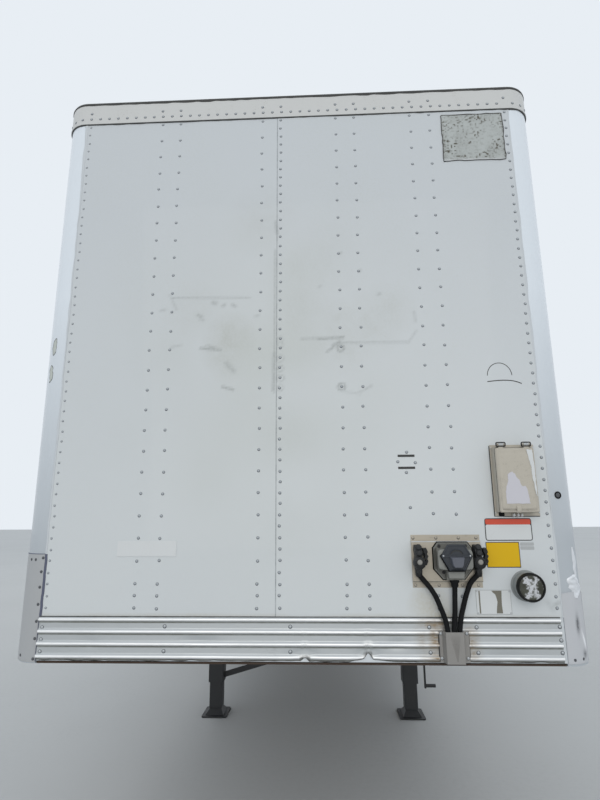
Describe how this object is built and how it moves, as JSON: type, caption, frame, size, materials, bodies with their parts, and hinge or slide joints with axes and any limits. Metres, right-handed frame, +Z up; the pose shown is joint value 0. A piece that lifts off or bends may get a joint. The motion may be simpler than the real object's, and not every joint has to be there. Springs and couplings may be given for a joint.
{
  "type": "semi trailer",
  "caption": "Dry van semi trailer, white riveted box body on a sliding tandem with dual wheels, landing legs, swing doors and nose fittings.",
  "frame": {"origin": "on the ground, under the middle of the overall length and width", "axes": "+X to the driver's side, +Y to the rear doors, +Z up; the nose faces -Y"},
  "size_m": [2.591, 16.344, 4.112],
  "materials": {
    "white_panel": "coil coated aluminium sheet, white, scuffed",
    "white_post": "gloss white extruded corner post",
    "white_rail": "white painted aluminium extrusion",
    "bright_aluminium": "mill finish aluminium",
    "grey_guard": "dull aluminium plate",
    "roof_sheet": "mill finish aluminium sheet",
    "dark_seal": "dark sealant and edge trim",
    "galvanised": "galvanised steel",
    "oak_floor": "laminated hardwood, worn",
    "black_chassis": "black chassis paint, dusty",
    "rusty_plate": "rusty greasy steel",
    "kingpin_steel": "greased steel",
    "red_lens": "red lamp lens",
    "amber_lens": "amber lamp lens",
    "black_rubber": "black rubber",
    "white_steel": "white painted steel",
    "fitting_plate": "stained stainless sheet",
    "cast_alloy": "grey cast alloy",
    "grey_plastic": "weathered grey plastic",
    "cast_iron": "dull cast iron",
    "black_hose": "black rubber hose",
    "cover_alloy": "stamped sheet, dull",
    "beige_plastic": "weathered beige plastic",
    "canister": "grey plastic, dark rubber ring, cloudy lid",
    "patch_sheet": "weathered galvanised patch",
    "flap_rubber": "black rubber sheet",
    "white_door": "white painted composite door",
    "white_wheel": "white painted steel disc wheel",
    "tyre": "tyre rubber"
  },
  "bodies": {
    "van": {"air_couplings": "cast_iron", "bottom_rails": "white_rail", "corner_guard": "grey_guard", "corner_posts": "white_post", "coupler_plate": "rusty_plate", "crossmembers": "black_chassis", "document_box": "beige_plastic", "fitting_plate": "fitting_plate", "floor_deck": "oak_floor", "front_top_rail": "white_rail", "front_wall": "white_panel", "kingpin": "kingpin_steel", "leg_crank": "black_chassis", "leg_feet": "black_chassis", "leg_housings": "black_chassis", "line_cover": "cover_alloy", "marker_lamps": "amber_lens", "nose_lines": "black_hose", "patch_plate": "patch_sheet", "rear_header": "galvanised", "rear_posts": "galvanised", "rear_sill": "galvanised", "ribbed_panel": "bright_aluminium", "roof": "roof_sheet", "roof_seal": "dark_seal", "round_canister": "canister", "side_walls": "white_panel", "slide_rails": "black_chassis", "socket_barrel": "cast_alloy", "socket_box": "cast_alloy", "tail_lamps": "red_lens", "top_rails": "white_rail", "underride_guard": "white_steel"},
    "bogie": {"bogie_frame": "black_chassis", "trailing_arms": "black_chassis", "air_springs": "black_rubber", "shock_absorbers": "black_chassis", "axles": "black_chassis", "brake_gear": "black_chassis", "air_tank": "black_chassis", "mud_flaps": "flap_rubber"},
    "wheel_set_front_left": {"wheels_front_left": "white_wheel", "tyres_front_left": "tyre"},
    "wheel_set_front_right": {"wheels_front_right": "white_wheel", "tyres_front_right": "tyre"},
    "wheel_set_rear_left": {"wheels_rear_left": "white_wheel", "tyres_rear_left": "tyre"},
    "wheel_set_rear_right": {"wheels_rear_right": "white_wheel", "tyres_rear_right": "tyre"},
    "door_left": {"door_panel_left": "white_door", "door_hardware_left": "galvanised"},
    "door_right": {"door_panel_right": "white_door", "door_hardware_right": "galvanised"},
    "document_lid": {"document_lid": "beige_plastic"},
    "socket_lid": {"socket_lid": "grey_plastic"}
  },
  "joints": [
    {"name": "tandem_slide", "type": "slide", "parent": "van", "child": "bogie", "axis": [0, 1, 0], "range_m": [-0.3048, 1.8288]},
    {"name": "wheel_front_left_spin", "type": "hinge", "parent": "bogie", "child": "wheel_set_front_left", "pos_m": [0, 3.803, 0.508], "axis": [1, 0, 0], "continuous": true},
    {"name": "wheel_front_right_spin", "type": "hinge", "parent": "bogie", "child": "wheel_set_front_right", "pos_m": [0, 3.803, 0.508], "axis": [1, 0, 0], "continuous": true},
    {"name": "wheel_rear_left_spin", "type": "hinge", "parent": "bogie", "child": "wheel_set_rear_left", "pos_m": [0, 5.048, 0.508], "axis": [1, 0, 0], "continuous": true},
    {"name": "wheel_rear_right_spin", "type": "hinge", "parent": "bogie", "child": "wheel_set_rear_right", "pos_m": [0, 5.048, 0.508], "axis": [1, 0, 0], "continuous": true},
    {"name": "door_left_hinge", "type": "hinge", "parent": "van", "child": "door_left", "pos_m": [-1.286, 8.158, 2.66], "axis": [0, 0, 1], "range_deg": [0, 270]},
    {"name": "door_right_hinge", "type": "hinge", "parent": "van", "child": "door_right", "pos_m": [1.286, 8.158, 2.66], "axis": [0, 0, -1], "range_deg": [0, 270]},
    {"name": "document_lid_hinge", "type": "hinge", "parent": "van", "child": "document_lid", "pos_m": [0.995, -8.113, 2.145], "axis": [-1, 0, 0], "range_deg": [0, 160]},
    {"name": "socket_lid_hinge", "type": "hinge", "parent": "van", "child": "socket_lid", "pos_m": [0.699, -8.129, 1.703], "axis": [-1, 0, 0], "range_deg": [0, 110], "stiffness_Nm_per_rad": 0.15, "springref_deg": -20.05}
  ]
}
